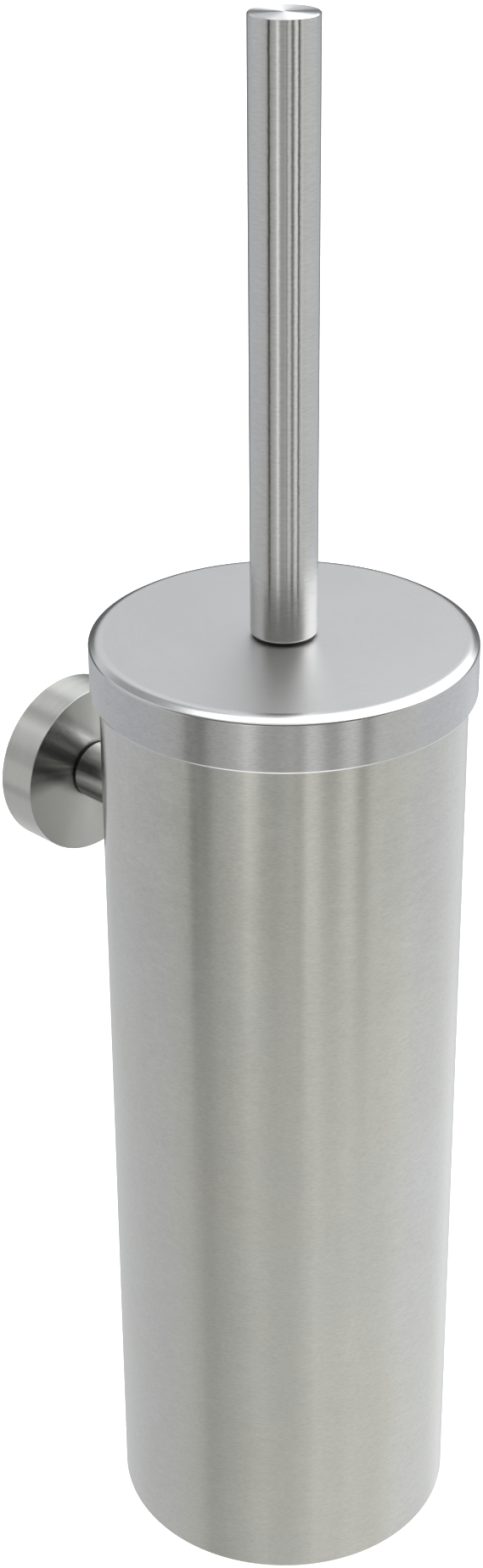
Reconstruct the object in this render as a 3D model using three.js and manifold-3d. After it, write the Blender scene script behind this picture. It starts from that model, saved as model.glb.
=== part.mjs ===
// A wall-hung toilet brush holder in brushed stainless steel. Millimetres, +Z up.
//
// The origin is the centre of the wall bracket's back face. The wall is the plane y = 0 and the room
// lies towards -Y. An arm carries the can in front of the wall, a plastic liner stands in the can, and
// the lid with its handle and brush rests on the can's rim.

import * as THREE from "three";
import { mergeVertices } from "three/addons/utils/BufferGeometryUtils.js";
import Module from "manifold-3d";

// Where the two axes lie: the arm's is the line x = 0, z = 0, and the can's stands upright.
const CAN_AXIS_FROM_WALL = 81;
const LID_TOP_Z = 61.5;
const CAN_BOTTOM_Z = -196;

// Sheet, clearances and roundness.
const GAP = 0.3;
const TOUCH = 0.1;
const SEAT = 0.2;
const FINE = 96;
const ROUND = 72;
const MEDIUM = 48;
const SMALL = 24;
const HEXAGON = 6;
const ARC_STEPS = 5;

// Can, base and liner.
const CAN_RADIUS = 44.8;
const CAN_WALL = 0.8;
const BASE_THICKNESS = 1;
const BASE_RECESS = 0.4;
const LINER_TOP_RADIUS = 39.7;
const LINER_FOOT_RADIUS = 38.1;
const LINER_WALL = 1.2;
const LINER_HEIGHT = 110;
const LINER_RIM_HEIGHT = 3;
const LINER_RIM_BULGE = 0.5;

// Lid and its bush.
const LID_RADIUS = 47;
const LID_SHEET = 0.8;
const LID_DEPTH = 13.6;
const LID_EDGE = 2;
const LID_HOLE_RADIUS = 4.6;
const BUSH_FLANGE_RADIUS = 7.5;
const BUSH_FLANGE = 0.5;
const BUSH_LIP_RADIUS = 5.1;
const BUSH_LIP = 1;

// Handle.
const HANDLE_RADIUS = 8.1;
const HANDLE_TOP_Z = 207;
const HANDLE_WALL = 1;
const HANDLE_CAP = 2;
const HANDLE_CHAMFER = 0.5;
const HANDLE_BEVEL = 0.6;
const FOOT_PLUG_LENGTH = 18;
const FOOT_PLUG_BORE = 14;

// Stem with the washer and the nut that hold the lid on it.
const STEM_RADIUS = 3;
const STEM_IN_HANDLE = 12;
const STEM_IN_HEAD = 18;
const STEM_WASHER_RADIUS = 9;
const STEM_WASHER = 1.2;
const STEM_NUT = 5;
const STEM_NUT_ACROSS_FLATS = 10;

// Brush head.
const HEAD_TOP_Z = -100;
const HEAD_BOTTOM_Z = -178.5;
const CORE_RADIUS = 8;
const CORE_NECK_RADIUS = 5.5;
const CORE_NECK = 7;
const CORE_TIP_RADIUS = 6;
const CORE_TIP = 3;
const BRISTLE_RADIUS = 35.8;
const BRISTLE_ROWS = 7;
const BRISTLE_ROW = 4;
const BRISTLE_PITCH = 10.2;
const BRISTLE_TOP_Z = -110;
const BRISTLE_TIP_RADIUS = 27;
const BRISTLE_TIP_DEPTH = 8.7;
const BRISTLE_TIP_STEPS = 4;

// Rose, bracket and arm, measured out from the wall.
const ROSE_RADIUS = 23;
const ROSE_DEPTH = 11.2;
const ROSE_WALL = 1.4;
const ROSE_FACE = 1.5;
const ROSE_CHAMFER = 0.3;
const BRACKET_RADIUS = 17;
const BRACKET_DEPTH = 6.4;
const GROOVE_DEPTH = 1.6;
const ARM_RADIUS = 7.7;
const ARM_BORE_DEPTH = 8;
const GASKET = 0.4;
const SADDLE_CENTRE = 1.4;
const SADDLE_WASHER_RADIUS = 7;
const SADDLE_WASHER = 0.8;

// Screws.
const ARM_SCREW_RADIUS = 2.8;
const ARM_SCREW_HEAD_RADIUS = 4.6;
const ARM_SCREW_HEAD = 1.9;
const ARM_SCREW_GRIP = 7;
const SOCKET_RADIUS = 1.9;
const SOCKET_DEPTH = 1.2;
const WALL_SCREW_FROM_CENTRE = 9.5;
const WALL_SCREW_RADIUS = 2;
const WALL_SCREW_HEAD_RADIUS = 4;
const WALL_SCREW_DRIVE_RADIUS = 1.5;
const GRUB_RADIUS = 1.9;
const GRUB_SOCKET_RADIUS = 1.1;
const GRUB_SOCKET_DEPTH = 2;

// Sizes that follow.
const CAN_INNER_RADIUS = CAN_RADIUS - CAN_WALL;
const CAN_RIM_Z = LID_TOP_Z - LID_SHEET - SEAT;
const BASE_BOTTOM_Z = CAN_BOTTOM_Z + BASE_RECESS;
const LINER_BOTTOM_Z = BASE_BOTTOM_Z + BASE_THICKNESS + SEAT;
const LINER_TOP_Z = LINER_BOTTOM_Z + LINER_HEIGHT;
const BUSH_FLANGE_Z = LID_TOP_Z + TOUCH;
const HANDLE_BOTTOM_Z = BUSH_FLANGE_Z + BUSH_FLANGE + TOUCH;
const BUSH_LIP_TOP_Z = LID_TOP_Z - LID_SHEET - SEAT;
const BUSH_BOTTOM_Z = BUSH_LIP_TOP_Z - BUSH_LIP;
const STEM_HOLE_RADIUS = STEM_RADIUS + GAP;
const ARM_SCREW_HOLE_RADIUS = ARM_SCREW_RADIUS + GAP;
const STEM_WASHER_Z = BUSH_BOTTOM_Z - SEAT - STEM_WASHER;
const STEM_NUT_Z = STEM_WASHER_Z - SEAT - STEM_NUT;
const GASKET_AT = ROSE_DEPTH + SEAT;
const ARM_AT = GASKET_AT + GASKET + SEAT;
const CAN_FACE_AT = CAN_AXIS_FROM_WALL - CAN_RADIUS;
const SADDLE_AT = CAN_FACE_AT - GAP - SADDLE_CENTRE;
const ARM_END_AT = SADDLE_AT - SEAT;
const SADDLE_WASHER_OUTER = CAN_INNER_RADIUS - GAP;
const SADDLE_WASHER_INNER = SADDLE_WASHER_OUTER - SADDLE_WASHER;
const CAN_SCREW_SEAT_AT = CAN_AXIS_FROM_WALL - SADDLE_WASHER_INNER + 2 * SEAT;
const ROSE_BACK_AT = ROSE_DEPTH - ROSE_FACE;

// ---- Solids ----

const wasm = await Module();
wasm.setup();

function toSolid(geometry) {
  const bare = geometry.clone();
  bare.deleteAttribute("normal");
  bare.deleteAttribute("uv");
  const merged = mergeVertices(bare);
  const triVerts = new Uint32Array(merged.index.array);
  const vertProperties = merged.attributes.position.array;
  return new wasm.Manifold(new wasm.Mesh({ numProp: 3, vertProperties, triVerts }));
}

function toGeometry(solid) {
  const mesh = solid.getMesh();
  const geometry = new THREE.BufferGeometry();
  geometry.setAttribute("position", new THREE.BufferAttribute(mesh.vertProperties, 3));
  geometry.setIndex(new THREE.BufferAttribute(mesh.triVerts, 1));
  geometry.computeVertexNormals();
  return geometry;
}

function cut(geometry, ...tools) {
  const subtract = (solid, tool) => solid.subtract(toSolid(tool));
  return toGeometry(tools.reduce(subtract, toSolid(geometry)));
}

function overlap(first, second) {
  return toGeometry(toSolid(first).intersect(toSolid(second)));
}

// ---- Shapes about the upright axis ----

// Turns an outline of [radius, height] points about +Z. The outline runs anticlockwise, seen with the
// radius to the right and the height up, and starts and ends on the axis or at the same point.
function turned(outline, segments) {
  const points = outline.map(([radius, height]) => new THREE.Vector2(radius, height));
  const geometry = new THREE.LatheGeometry(points, segments);
  geometry.rotateX(Math.PI / 2);
  return geometry;
}

function disc(radius, low, high, segments) {
  const outline = [
    [0, low],
    [radius, low],
    [radius, high],
    [0, high],
  ];
  return turned(outline, segments);
}

function ring(inner, outer, low, high, segments) {
  const outline = [
    [inner, low],
    [outer, low],
    [outer, high],
    [inner, high],
    [inner, low],
  ];
  return turned(outline, segments);
}

// Points of a circle's quarter about [radius, height], from one angle to another, in radians.
function arc(radius, height, size, from, to, steps = ARC_STEPS) {
  const angles = Array.from({ length: steps + 1 }, (_, i) => from + ((to - from) * i) / steps);
  return angles.map((a) => [radius + size * Math.cos(a), height + size * Math.sin(a)]);
}

function hexagonalPrism(circumradius, low, high) {
  return disc(circumradius, low, high, HEXAGON);
}

// A round hole from the arm's side through the can's wall, in the can's own frame.
function armHole(radius) {
  const tool = disc(radius, 0, CAN_AXIS_FROM_WALL, SMALL);
  tool.rotateX(-Math.PI / 2);
  return tool;
}

// ---- Materials ----

function steel(colour, roughness) {
  return new THREE.MeshStandardMaterial({ color: colour, metalness: 1, roughness });
}

function plastic(colour, roughness) {
  return new THREE.MeshStandardMaterial({ color: colour, metalness: 0, roughness });
}

const canSteel = () => steel(0xb4b5ae, 0.38);
const lidSteel = () => steel(0xc2c4c6, 0.36);
const handleSteel = () => steel(0xa6a6a1, 0.28);
const roseSteel = () => steel(0xb0b1ab, 0.3);
const armSteel = () => steel(0x8c8d90, 0.3);
const castAlloy = () => steel(0x9a9a98, 0.55);
const fastenerSteel = () => steel(0xaaaaa6, 0.35);
const blackPlastic = () => plastic(0x1b1b1c, 0.5);
const blackRubber = () => plastic(0x0d0d0e, 0.8);
const bristleNylon = () => plastic(0x26272a, 0.6);

// ---- Wall mount, along the arm: +Z of this group leads out from the wall ----

function wallBracket() {
  const middle = BRACKET_DEPTH / 2;
  const body = turned(
    [
      [0, 0],
      [BRACKET_RADIUS, 0],
      [BRACKET_RADIUS, middle - GROOVE_DEPTH],
      [BRACKET_RADIUS - GROOVE_DEPTH, middle],
      [BRACKET_RADIUS, middle + GROOVE_DEPTH],
      [BRACKET_RADIUS, BRACKET_DEPTH],
      [0, BRACKET_DEPTH],
    ],
    MEDIUM,
  );
  return cut(body, wallScrewHole(-1), wallScrewHole(1));
}

// The outline of a countersunk wall screw, or with a clearance the hole that it sits in.
function countersunk(low, high, clearance) {
  const coneDepth = WALL_SCREW_HEAD_RADIUS - WALL_SCREW_RADIUS;
  const top = BRACKET_DEPTH - SEAT;
  return [
    [0, low],
    [WALL_SCREW_RADIUS + clearance, low],
    [WALL_SCREW_RADIUS + clearance, top - coneDepth],
    [WALL_SCREW_HEAD_RADIUS + clearance, top],
    [WALL_SCREW_HEAD_RADIUS + clearance, high],
  ];
}

function wallScrewHole(side) {
  const outline = countersunk(-1, BRACKET_DEPTH + 1, GAP);
  const hole = turned([...outline, [0, BRACKET_DEPTH + 1]], SMALL);
  hole.translate(side * WALL_SCREW_FROM_CENTRE, 0, 0);
  return hole;
}

// A screw as far as the wall's face, with a drive recess in its head.
function wallScrew(side) {
  const top = BRACKET_DEPTH - TOUCH;
  const drive = [
    [WALL_SCREW_DRIVE_RADIUS, top],
    [0, top - WALL_SCREW_DRIVE_RADIUS],
  ];
  const screw = turned([...countersunk(TOUCH, top, 0), ...drive], SMALL);
  screw.translate(side * WALL_SCREW_FROM_CENTRE, 0, 0);
  return screw;
}

function roseCover() {
  const inner = ROSE_RADIUS - ROSE_WALL;
  const cup = turned(
    [
      [inner, 0],
      [ROSE_RADIUS, 0],
      [ROSE_RADIUS, ROSE_DEPTH - ROSE_CHAMFER],
      [ROSE_RADIUS - ROSE_CHAMFER, ROSE_DEPTH],
      [ARM_SCREW_HOLE_RADIUS, ROSE_DEPTH],
      [ARM_SCREW_HOLE_RADIUS, ROSE_BACK_AT],
      [inner, ROSE_BACK_AT],
      [inner, 0],
    ],
    ROUND,
  );
  const grubHole = disc(GRUB_RADIUS + GAP, BRACKET_RADIUS, ROSE_RADIUS + 1, SMALL);
  grubHole.rotateX(Math.PI / 2);
  grubHole.translate(0, 0, BRACKET_DEPTH / 2);
  return cut(cup, grubHole);
}

// The set screw under the rose, with a pointed tip in the bracket's groove.
function grubScrew() {
  const tip = BRACKET_RADIUS - GROOVE_DEPTH + 1.5 * GAP;
  const shoulder = BRACKET_RADIUS + SEAT;
  const end = ROSE_RADIUS - SEAT;
  const body = turned(
    [
      [0, tip],
      [shoulder - tip, shoulder],
      [GRUB_RADIUS, shoulder + SEAT],
      [GRUB_RADIUS, end],
      [0, end],
    ],
    SMALL,
  );
  const screw = cut(body, hexagonalPrism(GRUB_SOCKET_RADIUS, end - GRUB_SOCKET_DEPTH, end + 1));
  screw.rotateX(Math.PI / 2);
  screw.translate(0, 0, BRACKET_DEPTH / 2);
  return screw;
}

// A cap screw with its head below its seat, as it stands in the group, and its shank above.
function capScrew(seat, grip) {
  const under = seat - ARM_SCREW_HEAD;
  const body = turned(
    [
      [0, under],
      [ARM_SCREW_HEAD_RADIUS, under],
      [ARM_SCREW_HEAD_RADIUS, seat],
      [ARM_SCREW_RADIUS, seat],
      [ARM_SCREW_RADIUS, seat + grip],
      [0, seat + grip],
    ],
    SMALL,
  );
  return cut(body, hexagonalPrism(SOCKET_RADIUS, under - 1, under + SOCKET_DEPTH));
}

function armRootScrew() {
  const seat = ROSE_BACK_AT - SEAT;
  return capScrew(seat, ROSE_FACE + ARM_SCREW_GRIP);
}

// The same screw turned round, from inside the can back towards the wall.
function armCanScrew() {
  const through = CAN_SCREW_SEAT_AT - ARM_END_AT;
  const screw = capScrew(0, through + ARM_SCREW_GRIP);
  screw.rotateX(Math.PI);
  screw.translate(0, 0, CAN_SCREW_SEAT_AT);
  return screw;
}

function armGasket() {
  return ring(ARM_SCREW_HOLE_RADIUS, ARM_RADIUS, GASKET_AT, GASKET_AT + GASKET, MEDIUM);
}

function wallArm() {
  const outline = [
    [0, ARM_AT + ARM_BORE_DEPTH],
    [ARM_SCREW_HOLE_RADIUS, ARM_AT + ARM_BORE_DEPTH],
    [ARM_SCREW_HOLE_RADIUS, ARM_AT],
    [ARM_RADIUS, ARM_AT],
    [ARM_RADIUS, ARM_END_AT],
    [ARM_SCREW_HOLE_RADIUS, ARM_END_AT],
    [ARM_SCREW_HOLE_RADIUS, ARM_END_AT - ARM_BORE_DEPTH],
    [0, ARM_END_AT - ARM_BORE_DEPTH],
  ];
  return turned(outline, MEDIUM);
}

// A round bar that fills the can and stands across the arm, in the arm's frame.
function acrossArm(radius) {
  const bar = disc(radius, -CAN_RADIUS, CAN_RADIUS, 2 * FINE);
  bar.rotateX(-Math.PI / 2);
  bar.translate(0, 0, CAN_AXIS_FROM_WALL);
  return bar;
}

function armSaddle() {
  const pad = ring(ARM_SCREW_HOLE_RADIUS, ARM_RADIUS, SADDLE_AT, CAN_AXIS_FROM_WALL, MEDIUM);
  return cut(pad, acrossArm(CAN_RADIUS + GAP));
}

function saddleWasher() {
  const pad = ring(ARM_SCREW_HOLE_RADIUS, SADDLE_WASHER_RADIUS, CAN_FACE_AT, CAN_AXIS_FROM_WALL, MEDIUM);
  const outside = overlap(pad, acrossArm(SADDLE_WASHER_OUTER));
  return cut(outside, acrossArm(SADDLE_WASHER_INNER));
}

// ---- Can and liner ----

function canShell() {
  const tube = ring(CAN_INNER_RADIUS, CAN_RADIUS, CAN_BOTTOM_Z, CAN_RIM_Z, FINE);
  return cut(tube, armHole(ARM_SCREW_HOLE_RADIUS));
}

function canBase() {
  return disc(CAN_INNER_RADIUS - GAP, BASE_BOTTOM_Z, BASE_BOTTOM_Z + BASE_THICKNESS, ROUND);
}

function canLiner() {
  const rimZ = LINER_TOP_Z - LINER_RIM_HEIGHT;
  const outline = [
    [0, LINER_BOTTOM_Z],
    [LINER_FOOT_RADIUS, LINER_BOTTOM_Z],
    [LINER_TOP_RADIUS - LINER_RIM_BULGE, rimZ],
    [LINER_TOP_RADIUS, rimZ],
    [LINER_TOP_RADIUS, LINER_TOP_Z],
    [LINER_TOP_RADIUS - LINER_WALL, LINER_TOP_Z],
    [LINER_FOOT_RADIUS - LINER_WALL, LINER_BOTTOM_Z + LINER_WALL],
    [0, LINER_BOTTOM_Z + LINER_WALL],
  ];
  return turned(outline, ROUND);
}

// ---- Lid ----

function lidCap() {
  const inner = LID_RADIUS - LID_SHEET;
  const innerEdge = LID_EDGE - LID_SHEET;
  const bottom = LID_TOP_Z - LID_DEPTH;
  const bend = LID_RADIUS - LID_EDGE;
  const outline = [
    [inner, bottom],
    [LID_RADIUS, bottom],
    ...arc(bend, LID_TOP_Z - LID_EDGE, LID_EDGE, 0, Math.PI / 2),
    [LID_HOLE_RADIUS, LID_TOP_Z],
    [LID_HOLE_RADIUS, LID_TOP_Z - LID_SHEET],
    ...arc(bend, LID_TOP_Z - LID_EDGE, innerEdge, Math.PI / 2, 0),
    [inner, bottom],
  ];
  return turned(outline, ROUND);
}

function lidBush() {
  const neck = LID_HOLE_RADIUS - GAP;
  const outline = [
    [STEM_HOLE_RADIUS, BUSH_BOTTOM_Z],
    [BUSH_LIP_RADIUS, BUSH_BOTTOM_Z],
    [BUSH_LIP_RADIUS, BUSH_LIP_TOP_Z],
    [neck, BUSH_LIP_TOP_Z],
    [neck, BUSH_FLANGE_Z],
    [BUSH_FLANGE_RADIUS, BUSH_FLANGE_Z],
    [BUSH_FLANGE_RADIUS, BUSH_FLANGE_Z + BUSH_FLANGE],
    [STEM_HOLE_RADIUS, BUSH_FLANGE_Z + BUSH_FLANGE],
    [STEM_HOLE_RADIUS, BUSH_BOTTOM_Z],
  ];
  return turned(outline, MEDIUM);
}

// ---- Handle and stem ----

function handleTube() {
  const inner = HANDLE_RADIUS - HANDLE_WALL;
  const outline = [
    [0, HANDLE_TOP_Z - HANDLE_CAP],
    [inner, HANDLE_TOP_Z - HANDLE_CAP],
    [inner, HANDLE_BOTTOM_Z],
    [HANDLE_RADIUS - HANDLE_BEVEL, HANDLE_BOTTOM_Z],
    [HANDLE_RADIUS, HANDLE_BOTTOM_Z + HANDLE_BEVEL],
    [HANDLE_RADIUS, HANDLE_TOP_Z - HANDLE_CHAMFER],
    [HANDLE_RADIUS - HANDLE_CHAMFER, HANDLE_TOP_Z],
    [0, HANDLE_TOP_Z],
  ];
  return turned(outline, MEDIUM);
}

function handleFootPlug() {
  const outer = HANDLE_RADIUS - HANDLE_WALL - GAP;
  const low = HANDLE_BOTTOM_Z + TOUCH;
  const outline = [
    [0, low + FOOT_PLUG_BORE],
    [STEM_HOLE_RADIUS, low + FOOT_PLUG_BORE],
    [STEM_HOLE_RADIUS, low],
    [outer, low],
    [outer, low + FOOT_PLUG_LENGTH],
    [0, low + FOOT_PLUG_LENGTH],
  ];
  return turned(outline, MEDIUM);
}

function brushStem() {
  const top = HANDLE_BOTTOM_Z + STEM_IN_HANDLE;
  const bottom = HEAD_TOP_Z - STEM_IN_HEAD;
  return disc(STEM_RADIUS, bottom, top, SMALL);
}

function stemWasher() {
  return ring(STEM_HOLE_RADIUS, STEM_WASHER_RADIUS, STEM_WASHER_Z, STEM_WASHER_Z + STEM_WASHER, MEDIUM);
}

function stemNut() {
  const circumradius = STEM_NUT_ACROSS_FLATS / 2 / Math.cos(Math.PI / HEXAGON);
  const body = hexagonalPrism(circumradius, STEM_NUT_Z, STEM_NUT_Z + STEM_NUT);
  const bore = disc(STEM_HOLE_RADIUS, STEM_NUT_Z - 1, STEM_NUT_Z + STEM_NUT + 1, SMALL);
  return cut(body, bore);
}

// ---- Brush head ----

function brushCore() {
  const socketEnd = HEAD_TOP_Z - STEM_IN_HEAD - SEAT;
  const outline = [
    [0, HEAD_BOTTOM_Z],
    [CORE_TIP_RADIUS, HEAD_BOTTOM_Z],
    [CORE_RADIUS, HEAD_BOTTOM_Z + CORE_TIP],
    [CORE_RADIUS, HEAD_TOP_Z - CORE_NECK],
    [CORE_NECK_RADIUS, HEAD_TOP_Z],
    [STEM_HOLE_RADIUS, HEAD_TOP_Z],
    [STEM_HOLE_RADIUS, socketEnd],
    [0, socketEnd],
  ];
  return turned(outline, MEDIUM);
}

function bristleRow(index) {
  const middle = BRISTLE_TOP_Z - index * BRISTLE_PITCH;
  const half = BRISTLE_ROW / 2;
  return ring(CORE_RADIUS + GAP, BRISTLE_RADIUS, middle - half, middle + half, MEDIUM);
}

// The tufts that close the head's lower end, as one rounded solid.
function bristleTip() {
  const top = HEAD_BOTTOM_Z - GAP;
  const dome = Array.from({ length: BRISTLE_TIP_STEPS }, (_, i) => {
    const angle = (Math.PI / 2) * (i / BRISTLE_TIP_STEPS);
    return [BRISTLE_TIP_RADIUS * Math.sin(angle), top - BRISTLE_TIP_DEPTH * Math.cos(angle)];
  });
  return turned([...dome, [BRISTLE_TIP_RADIUS, top], [0, top]], MEDIUM);
}

// ---- Assembly ----

function add(group, name, geometry, material) {
  const mesh = new THREE.Mesh(geometry, material);
  mesh.name = name;
  group.add(mesh);
}

function wallMount() {
  const group = new THREE.Group();
  group.rotation.x = Math.PI / 2;
  add(group, "wall_bracket", wallBracket(), castAlloy());
  add(group, "wall_screw_left", wallScrew(-1), fastenerSteel());
  add(group, "wall_screw_right", wallScrew(1), fastenerSteel());
  add(group, "rose_cover", roseCover(), roseSteel());
  add(group, "rose_grub_screw", grubScrew(), fastenerSteel());
  add(group, "arm_root_screw", armRootScrew(), fastenerSteel());
  add(group, "arm_gasket", armGasket(), blackRubber());
  add(group, "wall_arm", wallArm(), armSteel());
  add(group, "arm_saddle", armSaddle(), blackPlastic());
  add(group, "saddle_washer", saddleWasher(), fastenerSteel());
  add(group, "arm_can_screw", armCanScrew(), fastenerSteel());
  return group;
}

function canSet() {
  const group = new THREE.Group();
  add(group, "can_shell", canShell(), canSteel());
  add(group, "can_base", canBase(), canSteel());
  add(group, "can_liner", canLiner(), blackPlastic());
  return group;
}

function lidSet() {
  const group = new THREE.Group();
  add(group, "lid", lidCap(), lidSteel());
  add(group, "lid_bush", lidBush(), blackPlastic());
  return group;
}

function brush() {
  const group = new THREE.Group();
  add(group, "handle_tube", handleTube(), handleSteel());
  add(group, "handle_foot_plug", handleFootPlug(), fastenerSteel());
  add(group, "brush_stem", brushStem(), fastenerSteel());
  add(group, "stem_washer", stemWasher(), fastenerSteel());
  add(group, "stem_nut", stemNut(), fastenerSteel());
  add(group, "brush_core", brushCore(), blackPlastic());
  for (let row = 0; row < BRISTLE_ROWS; row += 1) {
    add(group, `bristle_row_${row + 1}`, bristleRow(row), bristleNylon());
  }
  add(group, "bristle_tip", bristleTip(), bristleNylon());
  return group;
}

const onCanAxis = new THREE.Group();
onCanAxis.position.y = -CAN_AXIS_FROM_WALL;
onCanAxis.add(canSet(), lidSet(), brush());

const holder = new THREE.Group();
holder.add(wallMount(), onCanAxis);

export default holder;
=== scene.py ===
import math
import random

import bmesh
import bpy
from mathutils import Matrix, Vector


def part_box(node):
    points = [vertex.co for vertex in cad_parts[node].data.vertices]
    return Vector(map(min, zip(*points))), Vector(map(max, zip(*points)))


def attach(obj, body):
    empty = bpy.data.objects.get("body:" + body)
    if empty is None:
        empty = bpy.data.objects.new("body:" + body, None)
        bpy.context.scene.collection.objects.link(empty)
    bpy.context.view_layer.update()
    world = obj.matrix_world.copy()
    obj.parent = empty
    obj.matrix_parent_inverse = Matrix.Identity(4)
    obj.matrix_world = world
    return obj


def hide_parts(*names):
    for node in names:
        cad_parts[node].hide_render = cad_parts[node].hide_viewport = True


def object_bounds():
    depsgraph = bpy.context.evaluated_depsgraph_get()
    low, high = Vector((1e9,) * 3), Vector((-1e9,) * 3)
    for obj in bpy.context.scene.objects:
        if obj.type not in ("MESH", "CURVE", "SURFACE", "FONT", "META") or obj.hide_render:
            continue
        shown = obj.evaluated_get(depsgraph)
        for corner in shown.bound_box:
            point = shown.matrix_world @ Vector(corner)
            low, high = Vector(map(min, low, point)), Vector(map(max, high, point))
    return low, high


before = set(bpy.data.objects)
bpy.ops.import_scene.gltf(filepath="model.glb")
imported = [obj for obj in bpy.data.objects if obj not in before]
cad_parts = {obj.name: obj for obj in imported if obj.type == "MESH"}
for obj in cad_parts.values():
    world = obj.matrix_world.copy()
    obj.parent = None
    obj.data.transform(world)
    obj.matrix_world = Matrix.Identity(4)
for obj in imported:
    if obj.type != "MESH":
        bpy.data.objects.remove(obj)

# The look of a wall-hung toilet brush holder in brushed stainless steel: fine meshes around the
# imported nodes, procedural metals and plastics, a soft studio and the camera. Metres, +Z up.

CAD_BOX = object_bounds()
MM = 0.001

# ---- Places that the frame gives ----


def middle(node):
    low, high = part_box(node)
    return (low[0] + high[0]) / 2, (low[1] + high[1]) / 2, (low[2] + high[2]) / 2


def sizes(node):
    low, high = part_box(node)
    return high[0] - low[0], high[1] - low[1], high[2] - low[2]


def heights(node):
    low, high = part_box(node)
    return low[2], high[2]


CAN_AXIS = (middle("can_shell")[0], middle("can_shell")[1], 0.0)
ARM_AXIS = (middle("wall_arm")[0], 0.0, middle("wall_arm")[2])
CAN_RADIUS = sizes("can_shell")[0] / 2
CAN_AXIS_FROM_WALL = -CAN_AXIS[1]

# ---- Meshes ----

# How many sides a turned mesh has.
FINE = 160
ROUND = 96
SMALL = 40
CORNER_STEPS = 5
# How far beyond an arc its support points lie, as a share of the arc's radius.
SUPPORT = 0.2
# Faces that meet more steeply than this have a sharp edge between them.
SHARP = math.radians(38)
# A smaller radius than this is a point on the axis.
ON_AXIS = 0.0001 * MM


def corner(before, at, after, size):
    """An arc of this radius in place of a corner, with a support point beyond each end."""
    inward = [(Vector(point) - Vector(at)).normalized() for point in (before, after)]
    half = inward[0].angle(inward[1]) / 2
    reach = size / math.tan(half)
    centre = Vector(at) + (inward[0] + inward[1]).normalized() * (size / math.sin(half))
    start = Vector(at) + inward[0] * reach - centre
    end = Vector(at) + inward[1] * reach - centre
    turn = start.angle_signed(end)
    arc = []
    for i in range(CORNER_STEPS + 1):
        spin = Matrix.Rotation(-turn * i / CORNER_STEPS, 2)
        arc.append(centre + spin @ start)
    first = arc[0] + inward[0] * size * SUPPORT
    last = arc[-1] + inward[1] * size * SUPPORT
    return [tuple(p) for p in (first, *arc, last)]


def rounded(points):
    """An outline of (radius, height) points. A third number is the size of the corner's round."""
    made = []
    for i, point in enumerate(points):
        if len(point) == 2:
            made.append(tuple(point))
            continue
        before = points[i - 1][:2]
        after = points[(i + 1) % len(points)][:2]
        made += corner(before, point[:2], after, point[2])
    return made


def shade(bm):
    """Smooth faces, with an edge kept sharp where its faces meet steeply."""
    for face in bm.faces:
        face.smooth = True
    for edge in bm.edges:
        edge.smooth = len(edge.link_faces) == 2 and edge.calc_face_angle(0.0) < SHARP


def to_object(name, bm):
    bmesh.ops.recalc_face_normals(bm, faces=bm.faces)
    shade(bm)
    mesh = bpy.data.meshes.new(name)
    bm.to_mesh(mesh)
    bm.free()
    piece = bpy.data.objects.new(name, mesh)
    bpy.context.scene.collection.objects.link(piece)
    return piece


def ring_of(bm, radius, height, segments):
    if radius < ON_AXIS:
        return [bm.verts.new((0, 0, height))]
    turn = 2 * math.pi / segments
    return [
        bm.verts.new((radius * math.cos(i * turn), radius * math.sin(i * turn), height))
        for i in range(segments)
    ]


def bridge(bm, low, high):
    count = max(len(low), len(high))
    for i in range(count):
        j = (i + 1) % count
        corners = [low[i % len(low)], low[j % len(low)], high[j % len(high)], high[i % len(high)]]
        bm.faces.new(list(dict.fromkeys(corners)))


def revolved(outline, segments, closed):
    """A bmesh turned about +Z. A closed outline meets itself, an open one ends on the axis."""
    bm = bmesh.new()
    rings = [ring_of(bm, radius, height, segments) for radius, height in rounded(outline)]
    for low, high in zip(rings, rings[1:]):
        bridge(bm, low, high)
    if closed:
        bridge(bm, rings[-1], rings[0])
    return bm


def moved(bm, shift):
    bmesh.ops.translate(bm, verts=bm.verts, vec=shift)
    return bm


def out_of_wall(bm):
    """Lays +Z along the arm: a height becomes a distance out from the wall."""
    spin = Matrix.Rotation(math.pi / 2, 4, "X")
    bmesh.ops.transform(bm, matrix=Matrix.Translation(ARM_AXIS) @ spin, verts=bm.verts)
    return bm


def carve(piece, tool):
    """Cuts the tool out of the piece and removes the tool."""
    modifier = piece.modifiers.new("carve", "BOOLEAN")
    modifier.operation = "DIFFERENCE"
    modifier.solver = "EXACT"
    modifier.object = tool
    settle(piece)
    bpy.data.objects.remove(tool)


def settle(piece):
    """Applies a piece's modifiers and shades it again."""
    depsgraph = bpy.context.evaluated_depsgraph_get()
    bm = bmesh.new()
    bm.from_object(piece, depsgraph)
    piece.modifiers.clear()
    shade(bm)
    bm.to_mesh(piece.data)
    bm.free()


def place(piece, node, body, slot, material):
    piece.data.materials.clear()
    piece.data.materials.append(material)
    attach(piece, body)
    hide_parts(node)
    return piece


def on_can_axis(node, bm, body, slot, material):
    """The piece in place of a node, from a mesh about +Z."""
    return place(to_object(node + "_fine", moved(bm, CAN_AXIS)), node, body, slot, material)


def on_arm_axis(node, bm, slot, material):
    """The piece in place of a node, from a mesh about +Z whose heights are distances from the wall."""
    return place(to_object(node + "_fine", out_of_wall(bm)), node, "holder", slot, material)


# ---- Shader nodes ----

# The least distance from an axis that a shader divides by.
NEAR_AXIS = 0.01 * MM


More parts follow.
